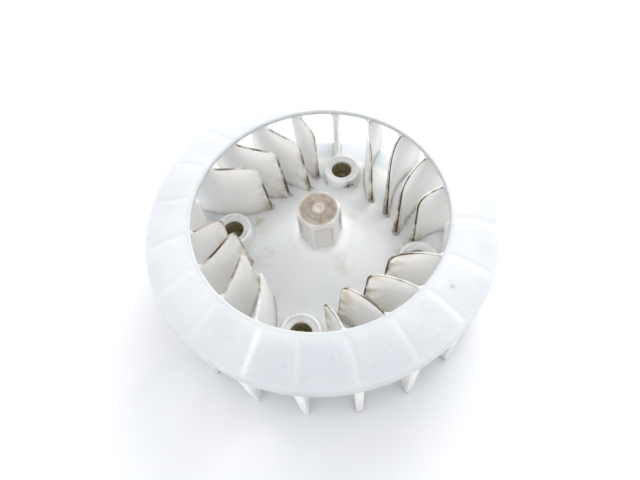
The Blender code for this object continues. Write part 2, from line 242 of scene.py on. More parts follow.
def nylon(name, pale_tone_and_painted_highlight, deep, grime_and_shade_amount=1.0, stain_and_shade_colour=(0.56, 0.50, 0.415), rough=0.34, sss=0.6,
          speck=1.0, wave=0.10, depth=0.003, detail=4.0,
          gloss_range=0.22, specular=0.5):
    """Milky natural nylon: cloudy, faintly scattering, with dark dust and painted shade in its edges, beige stains, and
    painted shade and highlights taken from mesh attributes.
    """
    m = bpy.data.materials.new(name)
    nt, b = nodes_of(m)
    p = position(nt)
    cloud = band(nt, noise(nt, p, 0.045, detail, 0.55), 0.30, 0.72)
    col = mix(nt, cloud, pale_tone_and_painted_highlight, deep)
    streak = band(nt, noise(nt, p, 0.10, detail * 0.75, 0.55), 0.50, 0.80)
    col = mix(nt, maths(nt, 'MULTIPLY', streak, 0.16), col, (0.80, 0.765, 0.79))
    # painted shade: a grey-blue darkening laid on from the mesh, on the ring's front, skirt and inner lip, the disc
    # under the ring and the vanes' outer feet
    col = mix(nt, attribute(nt, "painted_bluish_shade"), col, (0.60, 0.64, 0.675))
    # painted highlight: near-white where the mesh marks it, along the ring's sink marks and on the bosses' lips; the
    # first colour argument is the nylon's lighter tone
    col = mix(nt, attribute(nt, "pale_tone_and_painted_highlight"), col, (0.955, 0.965, 0.975))
    # beige stains, and on the bosses painted shade in the dish
    stain_and_shade_noise = band(nt, noise(nt, p, 0.16, 4.0, 0.6), 0.34, 0.68)
    stain_and_painted_shade = maths(nt, 'MULTIPLY', attribute(nt, "stain_and_painted_shade"), stain_and_shade_noise, True)
    col = mix(nt, stain_and_painted_shade, col, stain_and_shade_colour)
    # dark dust and marks, with painted shade in corners, edges and recesses
    grime_and_shade_noise = maths(nt, 'MULTIPLY', band(nt, noise(nt, p, 0.085, 2.0, 0.5), 0.40, 0.60),
                    maths(nt, 'ADD', maths(nt, 'MULTIPLY', band(nt, noise(nt, p, 0.60, 3.0, 0.6), 0.32, 0.60), 0.45), 0.55))
    grime_and_painted_shade = maths(nt, 'MULTIPLY', attribute(nt, "grime_and_painted_shade"), maths(nt, 'ADD', maths(nt, 'MULTIPLY', grime_and_shade_noise, 0.85), 0.46), True)
    grime_and_painted_shade = maths(nt, 'MULTIPLY', grime_and_painted_shade, grime_and_shade_amount, True)
    col = mix(nt, grime_and_painted_shade, col, (0.085, 0.062, 0.045))
    # a few small dark specks of soil
    dots = band(nt, noise(nt, p, 0.55, 1.0, 0.4), 0.80, 0.82)
    dots = maths(nt, 'MULTIPLY', dots, 0.45 * speck)
    col = mix(nt, dots, col, (0.20, 0.15, 0.11))
    nt.links.new(col, b.inputs["Base Color"])
    rn = noise(nt, p, 0.30, detail * 0.75, 0.6)
    r = maths(nt, 'ADD', maths(nt, 'MULTIPLY', rn, gloss_range), rough - gloss_range * 0.45)
    r = maths(nt, 'ADD', r, maths(nt, 'MULTIPLY', grime_and_painted_shade, 0.3), True)
    nt.links.new(r, b.inputs["Roughness"])
    b.inputs["IOR"].default_value = 1.50
    b.inputs["Specular IOR Level"].default_value = specular
    b.inputs["Subsurface Weight"].default_value = sss
    b.inputs["Subsurface Radius"].default_value = (1.0, 0.95, 0.85)
    b.inputs["Subsurface Scale"].default_value = depth
    # the skin of the moulding: slow waves and a fine grain
    b1 = nt.nodes.new("ShaderNodeBump")
    b1.inputs["Strength"].default_value = 1.0
    b1.inputs["Distance"].default_value = wave * MM
    nt.links.new(noise(nt, p, 0.11, 2.0, 0.5), b1.inputs["Height"])
    b2 = nt.nodes.new("ShaderNodeBump")
    b2.inputs["Strength"].default_value = 0.5
    b2.inputs["Distance"].default_value = 0.012 * MM
    nt.links.new(noise(nt, p, 2.2, 3.0, 0.6), b2.inputs["Height"])
    nt.links.new(b1.outputs[0], b2.inputs["Normal"])
    nt.links.new(b2.outputs[0], b.inputs["Normal"])
    return m


# the same milky nylon in every piece: the ring's colours are set darker and bluer as painted shade, the vanes' and
# bosses' lighter as painted light in the wheel's interior
M_RING = nylon("milky_nylon_ring", (0.775, 0.787, 0.808), (0.715, 0.733, 0.757), 0.8,
               sss=0.6, rough=0.28, wave=0.09, speck=0.0, detail=1.2, gloss_range=0.05)
M_DISC = nylon("milky_nylon_disc", (0.905, 0.915, 0.910), (0.865, 0.885, 0.88), 0.9, sss=0.7)
M_VANE = nylon("milky_nylon_vane", (0.935, 0.930, 0.912), (0.905, 0.895, 0.875), 1.0,
               rough=0.40, sss=0.9, depth=0.004, specular=0.22)
M_BOSS = nylon("milky_nylon_boss", (0.935, 0.945, 0.94), (0.90, 0.91, 0.905), 0.9,
               rough=0.20, sss=0.35, specular=0.75)


def post_material():
    """The turning post: greyed nylon flanks and a top rubbed brown by tools."""
    m = bpy.data.materials.new("worn_nylon_post")
    nt, b = nodes_of(m)
    p = position(nt)
    cloud = band(nt, noise(nt, p, 0.10, 4.0, 0.6), 0.3, 0.7)
    flank = mix(nt, cloud, (0.865, 0.848, 0.828), (0.80, 0.78, 0.757))
    mott = band(nt, noise(nt, p, 0.28, 5.0, 0.62), 0.32, 0.68)
    top = mix(nt, mott, (0.235, 0.185, 0.14), (0.385, 0.33, 0.28))
    olive = band(nt, noise(nt, p, 0.16, 2.0, 0.5), 0.50, 0.72)
    top = mix(nt, maths(nt, 'MULTIPLY', olive, 0.45), top, (0.28, 0.25, 0.165))
    col = mix(nt, attribute(nt, "stain_and_painted_shade"), flank, top)
    fade = attribute(nt, "pale_tone_and_painted_highlight")
    col = mix(nt, fade, col, (0.80, 0.80, 0.79))
    # painted shadow and shade from the mesh: dark lines under the collar, along the ribs and in the top's rings
    gn = band(nt, noise(nt, p, 0.45, 4.0, 0.6), 0.30, 0.62)
    grime_and_painted_shade = maths(nt, 'MULTIPLY', attribute(nt, "grime_and_painted_shade"), maths(nt, 'ADD', maths(nt, 'MULTIPLY', gn, 0.75), 0.25), True)
    col = mix(nt, grime_and_painted_shade, col, (0.10, 0.08, 0.065))
    nt.links.new(col, b.inputs["Base Color"])
    r = maths(nt, 'ADD', maths(nt, 'MULTIPLY', noise(nt, p, 0.6, 3.0), 0.25), 0.36, True)
    nt.links.new(r, b.inputs["Roughness"])
    b.inputs["IOR"].default_value = 1.50
    b.inputs["Subsurface Weight"].default_value = 0.2
    b.inputs["Subsurface Radius"].default_value = (1.0, 0.9, 0.8)
    b.inputs["Subsurface Scale"].default_value = 0.0015
    b1 = nt.nodes.new("ShaderNodeBump")
    b1.inputs["Strength"].default_value = 0.8
    b1.inputs["Distance"].default_value = 0.07 * MM
    nt.links.new(noise(nt, p, 0.7, 4.0, 0.6), b1.inputs["Height"])
    nt.links.new(b1.outputs[0], b.inputs["Normal"])
    return m


def sleeve_material():
    """Aged yellow zinc on steel: olive and brown, banded round the bore."""
    m = bpy.data.materials.new("aged_zinc_steel")
    nt, b = nodes_of(m)
    p = position(nt)
    st = nt.nodes.new("ShaderNodeVectorMath")
    st.operation = 'MULTIPLY'
    st.inputs[1].default_value = (0.10, 0.10, 1.0)
    nt.links.new(p, st.inputs[0])
    bands = band(nt, noise(nt, st.outputs[0], 0.9, 3.0, 0.6), 0.35, 0.65)
    col = mix(nt, bands, (0.34, 0.28, 0.18), (0.52, 0.46, 0.26))
    rust = band(nt, noise(nt, p, 0.40, 4.0, 0.6), 0.50, 0.68)
    col = mix(nt, maths(nt, 'MULTIPLY', rust, 0.7), col, (0.15, 0.095, 0.065))
    nt.links.new(col, b.inputs["Base Color"])
    r = maths(nt, 'ADD', maths(nt, 'MULTIPLY', rust, 0.3), 0.38, True)
    nt.links.new(r, b.inputs["Roughness"])
    b.inputs["Metallic"].default_value = 0.35
    b1 = nt.nodes.new("ShaderNodeBump")
    b1.inputs["Strength"].default_value = 0.7
    b1.inputs["Distance"].default_value = 0.05 * MM
    nt.links.new(noise(nt, st.outputs[0], 1.6, 3.0, 0.6), b1.inputs["Height"])
    nt.links.new(b1.outputs[0], b.inputs["Normal"])
    return m


M_POST = post_material()
M_SLEEVE = sleeve_material()

visual = bpy.data.collections.new("cooling_fan_wheel_looks")
scene.collection.children.link(visual)


def make_mesh(name, verts, faces, mat, attrs=None):
    """A mesh from arrays in millimetres; its faces are made to point outwards."""
    me = bpy.data.meshes.new(name)
    me.from_pydata((np.asarray(verts, float) * MM).tolist(), [], [tuple(int(i) for i in f) for f in faces])
    for key in ("grime_and_painted_shade", "stain_and_painted_shade", "pale_tone_and_painted_highlight", "painted_bluish_shade"):
        a = me.attributes.new(key, 'FLOAT', 'POINT')
        values = (attrs or {}).get(key)
        if values is None:
            values = np.zeros(len(verts))
        a.data.foreach_set("value", np.asarray(values, np.float32))
    bm = bmesh.new()
    bm.from_mesh(me)
    bmesh.ops.remove_doubles(bm, verts=bm.verts, dist=0.0000005)
    bmesh.ops.recalc_face_normals(bm, faces=bm.faces)
    if bm.calc_volume(signed=True) < 0:
        bmesh.ops.reverse_faces(bm, faces=bm.faces)
    bm.to_mesh(me)
    bm.free()
    me.materials.append(mat)
    me.shade_smooth()
    return me


def place(name, me, node, at=(0, 0, 0), turn=0.0):
    ob = bpy.data.objects.new(name, me)
    visual.objects.link(ob)
    ob.location = Vector(at) * MM
    ob.rotation_euler = (0, 0, turn)
    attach(ob, "root")
    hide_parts(node)
    return ob


def loop_faces(n, m, keep=None):
    """Quads of an n x m grid that closes on itself both ways (n round the axis, m round the profile)."""
    i, j = np.meshgrid(np.arange(n), np.arange(m), indexing='ij')
    i2, j2 = (i + 1) % n, (j + 1) % m
    f = np.stack([i * m + j, i2 * m + j, i2 * m + j2, i * m + j2], -1)
    return (f if keep is None else f[keep]).reshape(-1, 4)


def lathe(profile, steps):
    p = np.array(profile, float)
    th = np.arange(steps) * 2 * pi / steps
    r, z = np.broadcast_to(p[:, 0], (steps, len(p))).copy(), np.broadcast_to(p[:, 1], (steps, len(p))).copy()
    return r, z, np.broadcast_to(th[:, None], r.shape).copy()


def xyz(r, th, z):
    return np.stack([r * np.cos(th), r * np.sin(th), z], -1).reshape(-1, 3)


# ------------------------------------------------------------------ shroud ring
def build_ring():
    steps = 960
    prof = arc(R_EYE + 0.9, Z_LIP - 0.95, 0.9, 180, 95, 6)
    n_lip = len(prof)
    top = [(r, float(ring_top(r))) for r in np.linspace(R_EYE + 1.9, R_STEP - 0.75, 28)]
    prof += top
    prof += arc(R_OUT - 1.5, float(ring_top(R_STEP - 0.45)) - 1.36, 1.5, 68, 0, 8)
    prof += [(R_OUT, Z_RIM - 1.8), (R_OUT, Z_RIM - 3.2), (R_OUT, Z_SKIRT + 1.6)]
    prof += arc(R_OUT - 0.9, Z_SKIRT + 0.9, 0.9, 0, -90, 6)
    prof += [(R_INNER + 0.55, Z_SKIRT), (R_INNER + 0.15, Z_SKIRT + 0.18), (R_INNER, Z_SKIRT + 0.6),
             (R_INNER, Z_SKIRT + 2.0), (R_INNER - 0.1, Z_RIM - 3.0), (R_INNER - 0.5, Z_RIM - 2.2)]
    prof += [(r, float(ring_under(r))) for r in np.linspace(R_INNER - 1.6, R_EYE + 1.0, 16)]
    prof += arc(R_EYE + 0.7, Z_LIP - RING_T + 0.7, 0.7, -90, -180, 4)
    r, z, th = lathe(prof, steps)
    # sink marks: a shallow groove over every vane, along the vane's own plan curve
    centre = radians(VANE_PHASE) + sweep_angle(r)
    off = (th - centre) * 20 / (2 * pi)
    off = (off - np.round(off)) * 2 * pi / 20 * r                     # mm from the nearest vane
    off = off - 3.2 * (np.round((th - centre) * 20 / (2 * pi)).astype(int) % 20 == 14)
    upper = z > ring_under(r) + 1.6
    span = smoothstep(62.3, 64.5, r) * (1 - smoothstep(80.2, 82.8, r))
    k = np.round((th - centre) * 20 / (2 * pi)).astype(int) % 20
    depth = 0.42 + 0.14 * np.sin(k * 2.4 + 0.7)
    sink = -depth * np.exp(-(off / 1.9) ** 2) + 0.10 * np.exp(-(off / 5.0) ** 2)
    z = z + np.where(upper, sink * span, 0)
    # the moulding is not perfectly true: long soft waves
    z = z + np.where(upper & (r < R_STEP), 0.10 * np.sin(3 * th + 1.0) * span, 0)
    verts = xyz(r, th, z)
    rf, zf = r.reshape(-1), z.reshape(-1)
    x, y = verts[:, 0], verts[:, 1]
    n1 = fine_noise(x / 7, y / 7, zf / 7, 3)
    under = smoothstep(0.2, -0.2, zf - (ring_under(rf) + 0.3))
    skirt = smoothstep(R_OUT - 1.0, R_OUT - 0.2, rf)
    hem = np.exp(-np.maximum(zf - Z_SKIRT, 0) / 0.7) * (rf > R_INNER - 0.1)
    grime_and_painted_shade = 0.22 * hem * (0.4 + n1) + 0.10 * under * n1
    grime_and_painted_shade = grime_and_painted_shade + 0.9 * np.exp(-(np.hypot((x - 64.2) / 1.1, (y - -28.2) / 0.8)) ** 2) * (zf > Z_RIM)
    stain_and_painted_shade = 0.35 * np.exp(-((rf - R_EYE) / 1.0) ** 2) + 0.16 * skirt + 0.25 * hem + 0.15 * under
    # painted highlight: a near-white streak along each sink mark, stronger over some vanes, as the grooves' sheen
    groove_highlight_levels = np.array([.25, .25, .25, .25, .25, .2, .2, .2, .2, .25, .3, .3, .35, .35, 1., .3, .3, .4, .85, .75])
    painted_groove_highlight = np.where(upper, groove_highlight_levels[k] * np.exp(-(off / 1.25) ** 2) * span, 0).reshape(-1)
    # painted shade: grey-blue darkening of the ring's front slope, its skirt and the inner lip's edge
    turn = (np.degrees(th.reshape(-1)) - 287 + 180) % 360 - 180
    painted_bluish_shade = 0.50 * np.exp(-(turn / 30) ** 2) * smoothstep(62, 68, rf) + 0.25 * skirt \
        + 1.0 * np.exp(-(np.maximum(rf - R_EYE, 0) / 1.3) ** 2)
    me = make_mesh("shroud_ring_skin", verts, loop_faces(steps, len(prof)), M_RING,
                   {"grime_and_painted_shade": grime_and_painted_shade, "stain_and_painted_shade": stain_and_painted_shade, "pale_tone_and_painted_highlight": np.clip(painted_groove_highlight, 0, 1) * 0.8, "painted_bluish_shade": np.clip(painted_bluish_shade, 0, 1)})
    place("shroud_ring_skin", me, "shroud_ring")


# ------------------------------------------------------------------ back disc
BOSSES = [(BOSS_PCD / 2 * cos(radians(90 * k)), BOSS_PCD / 2 * sin(radians(90 * k))) for k in range(4)]


def build_disc():
    steps = 720
    radii = np.concatenate([np.linspace(6.2, 16.0, 16)[:-1], np.linspace(16.0, 75.6, 78)])
    n_top = len(radii)
    prof = [(r, float(dome_top(r))) for r in radii]
    ze = float(dome_top(R_DISC))
    edge = arc(R_DISC - 0.7, ze - 0.65, 0.7, 75, -75, 7)
    edge = [(min(r, R_DISC), z) for r, z in edge]
    lower = [(r, float(dome_top(r)) - DISC_T) for r in radii[::-1]]
    edge = edge[:4] + [(R_DISC, ze - DISC_T + 0.9)] + [(R_DISC - 0.15, ze - DISC_T + 0.35),
                                                       (R_DISC - 0.45, ze - DISC_T + 0.08)]
    prof = prof + edge + lower
    m = len(prof)
    r, z, th = lathe(prof, steps)
    # holes under the screw bosses; their ragged edge lies inside the wall of the boss
    cx, cy = r * np.cos(th), r * np.sin(th)
    mx = (cx + np.roll(cx, -1, 0)) / 2
    my = (cy + np.roll(cy, -1, 0)) / 2
    rows = np.arange(n_top - 1)
    hole = np.zeros((steps, m), bool)
    for bx, by in BOSSES:
        qx = (mx[:, :n_top - 1] + mx[:, 1:n_top]) / 2
        qy = (my[:, :n_top - 1] + my[:, 1:n_top]) / 2
        hole[:, :n_top - 1] |= np.hypot(qx - bx, qy - by) < 8.2
    first_low = m - n_top
    for j in rows:
        hole[:, m - 2 - j] = hole[:, j]
    faces = loop_faces(steps, m, ~hole).tolist()
    # walls between the two skins round each hole
    low = lambda j: m - 1 - j
    for i, j in zip(*np.nonzero(hole[:, :n_top - 1])):
        i2 = (i + 1) % steps
        sides = (((i - 1) % steps, j, (i, j), (i, j + 1)), (i2, j, (i2, j), (i2, j + 1)),
                 (i, j - 1, (i, j), (i2, j)), (i, j + 1, (i, j + 1), (i2, j + 1)))
        for ni, nj, a, b in sides:
            if not hole[ni, nj]:
                faces.append((a[0] * m + a[1], b[0] * m + b[1], b[0] * m + low(b[1]), a[0] * m + low(a[1])))
    verts = xyz(r, th, z)
    used = np.zeros(len(verts), bool)
    used[np.array(faces).reshape(-1)] = True
    index = np.cumsum(used) - 1
    verts = verts[used]
    faces = index[np.array(faces)]
    x, y, zz = verts.T
    rr = np.hypot(x, y)
    up = zz > dome_top(rr) - 1.0
    n1 = fine_noise(x / 9, y / 9, zz / 9, 5)
    stain_and_painted_shade = 0.10 * np.exp(-np.maximum(rr - 11, 0) / 4)
    near_boss = np.min([np.hypot(x - bx, y - by) for bx, by in BOSSES], 0)
    stain_and_painted_shade = stain_and_painted_shade + 0.45 * np.exp(-((near_boss - 11.5) / 2.2) ** 2) * (n1 > 0.55)
    stain_and_painted_shade = stain_and_painted_shade + 0.35 * smoothstep(0.58, 0.80, fine_noise(x / 14 + 9, y / 14, zz * 0, 8)) * (rr < 62)
    for sx, sy, sr, amount in ((-39.7, 9.9, 4.5, 0.8), (10.5, 42.5, 4.0, 0.75), (-33.0, 3.0, 5.0, 0.35),
                               (-37.0, 18.0, 4.0, 0.5), (-38.0, -9.0, 4.0, 0.5), (-30.0, 27.0, 4.0, 0.4)):
        stain_and_painted_shade = stain_and_painted_shade + amount * np.exp(-(np.hypot(x - sx, y - sy) / sr) ** 2)
    grime_and_painted_shade = 0.15 * np.exp(-((near_boss - 10.9) / 0.6) ** 2) * smoothstep(0.6, 0.85, n1)
    stain_and_painted_shade, grime_and_painted_shade = np.where(up, stain_and_painted_shade, 0.25 * n1), np.where(up, grime_and_painted_shade, 0.12 * n1)
    # painted shade: grey-blue darkening of the disc's outer band under the ring and of its underside
    painted_bluish_shade = np.where(up, 0.85 * smoothstep(59.5, 66, rr), 0.2)
    me = make_mesh("back_disc_skin", verts, faces, M_DISC, {"grime_and_painted_shade": grime_and_painted_shade, "stain_and_painted_shade": stain_and_painted_shade, "painted_bluish_shade": painted_bluish_shade})
    place("back_disc_skin", me, "back_disc")


# ------------------------------------------------------------------ vanes
EMBED = 0.5


def vane_chains(kind):
    """Lower and upper edge of a vane, unrolled flat, as (radius, height) with the radius rising."""
    if kind == "short":
        r_base = 61.6
        top = [(59.1, 50.0), (59.16, 51.0), (59.3, 52.0), (59.5, 52.9), (59.8, 53.6), (60.3, 54.2)]
    else:
        if kind == "long":
            corner, r_base, start = (40.7, 55.8), 38.7, (45.6, 56.2)
            edge = [(48.5, 56.3), (53.0, 56.1), (57.5, 55.5), (59.4, 55.3)]
        else:
            corner, r_base, start = (46.5, 55.0), 47.1, (51.0, 55.8)
            edge = [(54.5, 55.8), (57.5, 55.4), (59.4, 55.3)]
        end = (corner[0] + (r_base - corner[0]) * 0.14, corner[1] - 5.2)
        top = []
        for i in range(13):
            t = i / 12
            top.append(tuple(t ** 2 * s + 2 * t * (1 - t) * c + (1 - t) ** 2 * e
                             for s, c, e in zip(start, corner, end)))
        top += edge
    n_free_top = len(top)
    top += [(61.2, 55.3)] + [(r, float(ring_under(r)) + 1.0) for r in (63.0, 66.0, 70.0, 74.0, 78.0, 81.0)]
    top += [(R_VANE, 48.6)]
    low = [(r, float(dome_top(r)) - EMBED) for r in np.linspace(r_base, R_DISC - 0.6, 40)]
    low += [(R_DISC + 0.3, 12.6), (R_DISC + 0.5, 10.8), (77.3, 7.4), (78.1, 3.9), (78.9, 1.0), (79.4, 0.2),
            (80.0, 0.0), (82.2, 0.0), (82.8, 0.2), (R_VANE, 0.8)]
    return low, top, n_free_top


def seg_distance(px, pz, line):
    """Distance of points to a polyline."""
    best = np.full(px.shape, 1e9)
    for (x0, z0), (x1, z1) in zip(line, line[1:]):
        dx, dz = x1 - x0, z1 - z0
        t = np.clip(((px - x0) * dx + (pz - z0) * dz) / (dx * dx + dz * dz), 0, 1)
        best = np.minimum(best, np.hypot(px - x0 - t * dx, pz - z0 - t * dz))
    return best


def vane_thickness(r, z):
    eye = 2.8 + (1.25 - 2.8) * (z - 18.0) / 38.0
    foot = 3.2 + (4.3 - 3.2) * z / 47.0
    return eye + (foot - eye) * smoothstep(61.0, 76.8, r)


def round_fillet(h, rad):
    """How far a fillet stands out at height h above the surface that it meets."""
    q = np.clip(h, 0, rad)
    return rad - np.sqrt(np.maximum(0, rad * rad - (rad - q) ** 2))


def vane_mesh(name, kind, grime_and_shade_level, plus, middle):
    low, top, n_free = vane_chains(kind)
    r_b0, r_t0 = low[0][0], top[0][0]
    near = [0, 0.07, 0.18, 0.34, 0.55, 0.85, 1.25, 1.8, 2.5, 3.4, 4.5, 5.8]
    span = R_VANE - r_b0
    c = np.array(near + list(np.linspace(7.2, span - 3.6, 30)) + [span - v for v in (3.0, 2.4, 1.8, 1.25, 0.85,
                                                                                    0.5, 0.25, 0.1, 0)])
    s = c / span
    rb, rt = r_b0 + s * (R_VANE - r_b0), r_t0 + s * (R_VANE - r_t0)
    lx, lz = np.array(low).T
    tx, tz = np.array(top).T
    zb, zt = np.interp(rb, lx, lz), np.interp(rt, tx, tz)
    ends = np.array([0, 0.07, 0.18, 0.34, 0.55, 0.8, 1.1, 1.5, 2.0, 2.7, 3.6])
    inner = np.linspace(0, 1, 14)[1:-1]
    length = zt - zb
    rows = []
    for L in length:
        e = ends * min(1.0, L / 12.0)
        rows.append(np.concatenate([e, e[-1] + (L - 2 * e[-1]) * inner, (L - e)[::-1]]) / L)
    v = np.array(rows)
    r = rb[:, None] + (rt - rb)[:, None] * v
    z = zb[:, None] + (zt - zb)[:, None] * v
    n, m = r.shape
    # free edges: the leading edge, the top edge in the eye, the foot and the outer edge
    lead = [low[0], top[0]]
    free_top = top[:n_free]
    foot = [p for p in low if p[0] > R_DISC - 0.2]
    outer = [low[-1], (R_VANE, Z_SKIRT - 0.3)]
    d_lead = seg_distance(r, z, lead)
    d_top = seg_distance(r, z, free_top)
    d_free = np.minimum(np.minimum(d_lead, d_top), np.minimum(seg_distance(r, z, foot),
                                                              seg_distance(r, z, outer)))
    d_foot = np.minimum(seg_distance(r, z, foot), seg_distance(r, z, outer))
    d_free = np.minimum(np.minimum(d_lead, d_top), d_foot)
    h_disc = z - dome_top(r)
    h_ring = ring_under(r) - z
    half = vane_thickness(r, z) / 2
    flare_b = round_fillet(np.where(r < R_DISC + 0.3, h_disc, 9), 1.1)
    flare = flare_b
    flare = np.maximum(flare, round_fillet(np.where((r > R_EYE - 0.2) & (r < R_INNER), h_ring, 9), 1.4))
    flare = np.maximum(flare, round_fillet(np.where(r > R_INNER - 1.2, Z_SKIRT - z, 9), 1.3) * (z < Z_SKIRT + 3))
    flare = np.maximum(flare, round_fillet(np.where(z > Z_LIP - RING_T - 0.4, R_EYE - r, 9), 1.2))
    full = half + flare
    rad = np.where(d_foot < np.minimum(d_lead, d_top), 0.8, 0.45)
    # where the leading edge stands on the disc its corners are rounded with the fillet
    at_lead = d_lead <= np.minimum(d_top, d_foot)
    rad = np.where(at_lead, rad + flare_b, rad)
    d_round = np.where(at_lead, d_free + flare_b * (1 - np.exp(-d_free / 2.5)), d_free)
    edge = np.maximum(full - rad, 0.14)
    k = np.sqrt(np.maximum(0, 1 - (1 - np.clip(d_round / rad, 0, 1)) ** 2))
    w = edge + (full - edge) * k
    # the leading edge runs out over the disc in a small fillet
    r = r - round_fillet(h_disc, 1.1) * np.exp(-c[:, None] / 2.5) * (h_disc < 3)
    # slight bulge of the free edges, where the middle line closes the two sides
    a = sweep_angle(r)
    b = a + np.arctan(sweep_step(r))
    verts, attrs = [], {"grime_and_painted_shade": [], "stain_and_painted_shade": [], "painted_bluish_shade": []}
    # dark lines at the corners of the free edges, a dark band at the leading edge's foot and dark foot tips: partly
    # dust, partly painted shade
    corner_line = np.exp(-((d_free - 0.12) / 0.30) ** 2)
    in_eye = 1 - smoothstep(58.5, 60.5, r)
    lead_zone = np.exp(-d_lead / 1.6)
    g = corner_line * (0.95 * in_eye + 0.10 * (1 - in_eye)) + 0.10 * np.exp(-d_free / 1.4) * in_eye
    g = g + 0.30 * np.exp(-d_lead / 1.3) * np.exp(-np.maximum(h_disc - 1, 0) / 14) * smoothstep(-0.5, 1.5, h_disc)
    tip = np.exp(-np.maximum(z, 0) / 1.3)
    g = g * np.where(r < 70, smoothstep(0.0, 2.2, h_disc), 1.0)
    g_tip = 0.8 * tip * (r > 78)
    st = 1.30 * np.exp(-d_lead / 3.4) * (0.25 + 0.75 * np.exp(-np.maximum(h_disc - 2, 0) / 14))
    st = st * (0.55 + 0.45 * smoothstep(0.0, 1.6, h_disc))
    st = st + 0.25 * np.exp(-d_top / 2.5) * in_eye + 0.55 * np.exp(-np.maximum(h_disc, 0) / 3.5) * (r < 70)
    st = st + 0.25 * (r > 76) * np.exp(-z / 25)
    # painted shade: grey-blue darkening of each vane's outer lower end under the ring
    painted_bluish_shade = 0.45 * smoothstep(74, 79, r) * (1 - smoothstep(12, 40, z))
    if plus > 0.8:
        st = st + 0.75 * np.exp(-d_lead / 4.5) * in_eye * smoothstep(-1, 6, h_disc)
    if kind == "short":
        st = st * 0.6
    for side in (1, -1):
        q = side * w
        verts.append(np.stack([r * np.cos(a) - q * np.sin(b), r * np.sin(a) + q * np.cos(b), z], -1).reshape(-1, 3))
        attrs["grime_and_painted_shade"].append((g * (plus if side > 0 else 1.0) + g_tip).reshape(-1))
        attrs["stain_and_painted_shade"].append(st.reshape(-1))
        attrs["painted_bluish_shade"].append(painted_bluish_shade.reshape(-1))
    i, j = np.meshgrid(np.arange(n - 1), np.arange(m - 1), indexing='ij')
    quad = np.stack([i * m + j, (i + 1) * m + j, (i + 1) * m + j + 1, i * m + j + 1], -1).reshape(-1, 4)
    faces = [quad, quad[:, ::-1] + n * m]
    # the border, closed through a middle line that is paler than the two corners beside it: painted light on the edge's
    # top and painted shade at its corners
    border = ([(i, 0) for i in range(n)] + [(n - 1, j) for j in range(1, m)]
              + [(i, m - 1) for i in range(n - 2, -1, -1)] + [(0, j) for j in range(m - 2, 0, -1)])
    bi = np.array([p[0] * m + p[1] for p in border])
    ii, jj = np.array(border).T
    base = 2 * n * m
    rm, zm, am, bm_ = r[ii, jj], z[ii, jj], a[ii, jj], b[ii, jj]
    # push the middle line outwards a little
    nx = np.roll(rm, -1) - np.roll(rm, 1)
    nz = np.roll(zm, -1) - np.roll(zm, 1)
    ln = np.maximum(np.hypot(nx, nz), 1e-6)
    push = np.minimum(0.22 * w[ii, jj], 0.2)
    push = np.where((zm < 0.4) | (rm > R_VANE - 0.05), 0.0, push)
    rm, zm = rm + push * nz / ln, zm - push * nx / ln
    am = sweep_angle(rm)
    verts.append(np.stack([rm * np.cos(am), rm * np.sin(am), zm], -1))
    lead_face = np.exp(-d_lead[ii, jj] / 0.3) * (rm < 60)
    attrs["grime_and_painted_shade"].append(g[ii, jj] * (middle + 0.16 * lead_face) + 0.5 * np.exp(-np.maximum(zm, 0) / 1.0) * (rm > 78))
    attrs["stain_and_painted_shade"].append(st[ii, jj])
    attrs["painted_bluish_shade"].append(painted_bluish_shade[ii, jj])
    nb = len(border)
    x = np.arange(nb)
    x2 = (x + 1) % nb
    faces.append(np.stack([bi[x], base + x, base + x2, bi[x2]], -1))
    faces.append(np.stack([bi[x2] + n * m, base + x2, base + x, bi[x] + n * m], -1))
    verts = np.concatenate(verts)
    verts[:, 2] = np.maximum(verts[:, 2], 0.0)
    attrs = {key: np.concatenate(value) for key, value in attrs.items()}
    attrs["grime_and_painted_shade"] = attrs["grime_and_painted_shade"] * grime_and_shade_level
    attrs["stain_and_painted_shade"] = attrs["stain_and_painted_shade"] * (0.35 + 0.65 * grime_and_shade_level)
    return make_mesh(name, verts, np.concatenate(faces), M_VANE, attrs)


def build_vanes():
    # how dark each vane's marks are, dust and painted shade together, from the first vane past the first boss
    grime_and_shade_level = (0.4, 1.1, 1.6, 1.4, 1.1, 0.4, 0.8, 1.15, 1.1, 1.1, 0.6, 1.7, 1.7, 0.8, 0.75, 0.5, 1.0, 1.1, 1.2, 1.2)
    for k in range(20):
        node = "vane_%02d" % (k + 1)
        # which corner of the edge holds the dark line changes round the wheel: partly dust, partly painted shade on the
        # edge's shaded corner
        plus, middle = (0.85, 0.25) if k >= 15 else ((0.70, 0.90) if k >= 8 else ((0.50, 0.70) if k >= 6 else (0.35, 0.18)))
        me = vane_mesh(node + "_skin", VANE_KINDS[k % 5], grime_and_shade_level[k], plus, middle)
        place(node + "_skin", me, node, turn=radians(VANE_PHASE + 18.0 * k))


